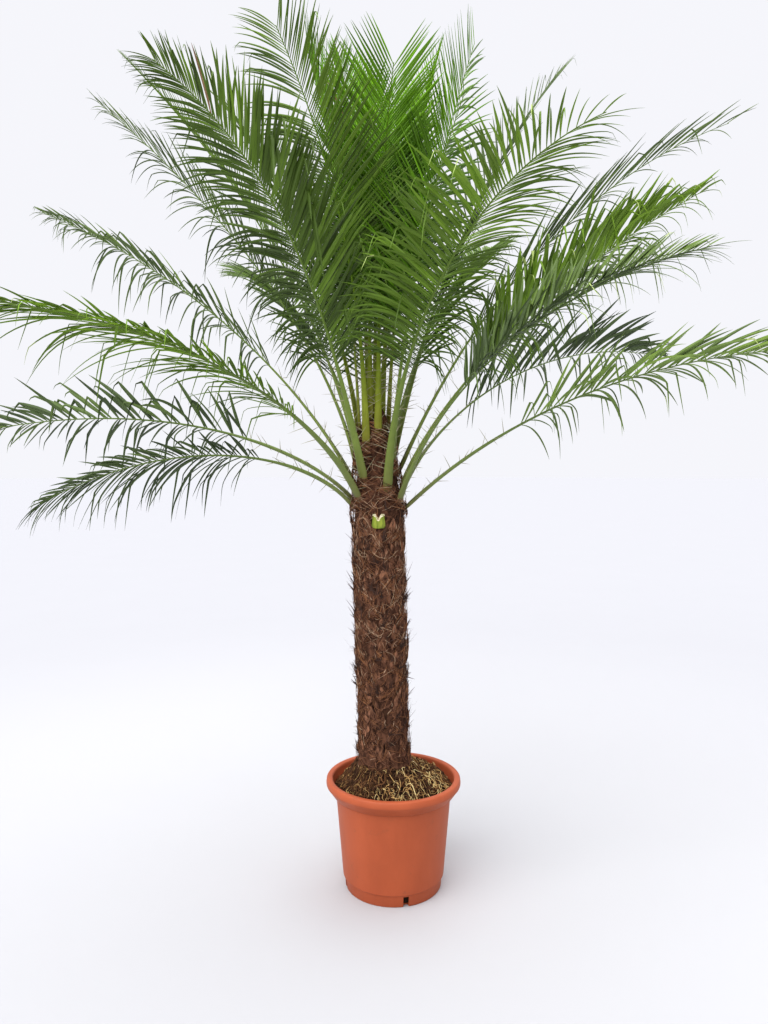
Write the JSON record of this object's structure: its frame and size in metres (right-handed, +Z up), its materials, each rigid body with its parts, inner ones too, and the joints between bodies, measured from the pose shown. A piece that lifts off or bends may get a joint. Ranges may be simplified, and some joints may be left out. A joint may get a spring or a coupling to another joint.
{
  "type": "potted pygmy date palm",
  "caption": "Feather-leaved dwarf palm with one fibrous trunk and a full crown of arching fronds, standing in a round plastic nursery pot.",
  "frame": {"origin": "middle of the pot's flat underside", "axes": "+Z up through the pot's axis; the front that the picture shows faces -Y; the crown is widest along X, and the trunk leans a little to -X"},
  "size_m": [1.9699, 1.4181, 1.7747],
  "materials": {
    "pot_plastic": "terracotta-orange moulded plastic, slightly satin, streaked with dried soil",
    "potting_soil": "dark brown potting mix with straw-coloured roots and fibres",
    "trunk_fibre": "shaggy red-brown fibre over old leaf bases",
    "cut_petiole": "yellow-green stub with a cream cut face",
    "frond_old": "dark blue-green leaflets, satin",
    "frond_grown": "mid green leaflets, satin",
    "frond_young": "bright yellow-green leaflets, satin"
  },
  "bodies": {
    "root": {"pot": "pot_plastic", "root_ball": "potting_soil", "trunk": "trunk_fibre", "petiole_stub": "cut_petiole", "frond_01": "frond_old", "frond_02": "frond_old", "frond_03": "frond_old", "frond_04": "frond_old", "frond_05": "frond_old", "frond_06": "frond_old", "frond_07": "frond_grown", "frond_08": "frond_grown", "frond_09": "frond_grown", "frond_10": "frond_grown", "frond_11": "frond_grown", "frond_12": "frond_grown", "frond_13": "frond_grown", "frond_14": "frond_grown", "frond_15": "frond_grown", "frond_16": "frond_grown", "frond_17": "frond_grown", "frond_18": "frond_grown", "frond_19": "frond_young", "frond_20": "frond_young", "frond_21": "frond_young", "frond_22": "frond_young", "frond_23": "frond_young", "frond_24": "frond_young", "frond_25": "frond_young", "frond_26": "frond_young", "frond_27": "frond_young", "frond_28": "frond_young"}
  },
  "joints": []
}
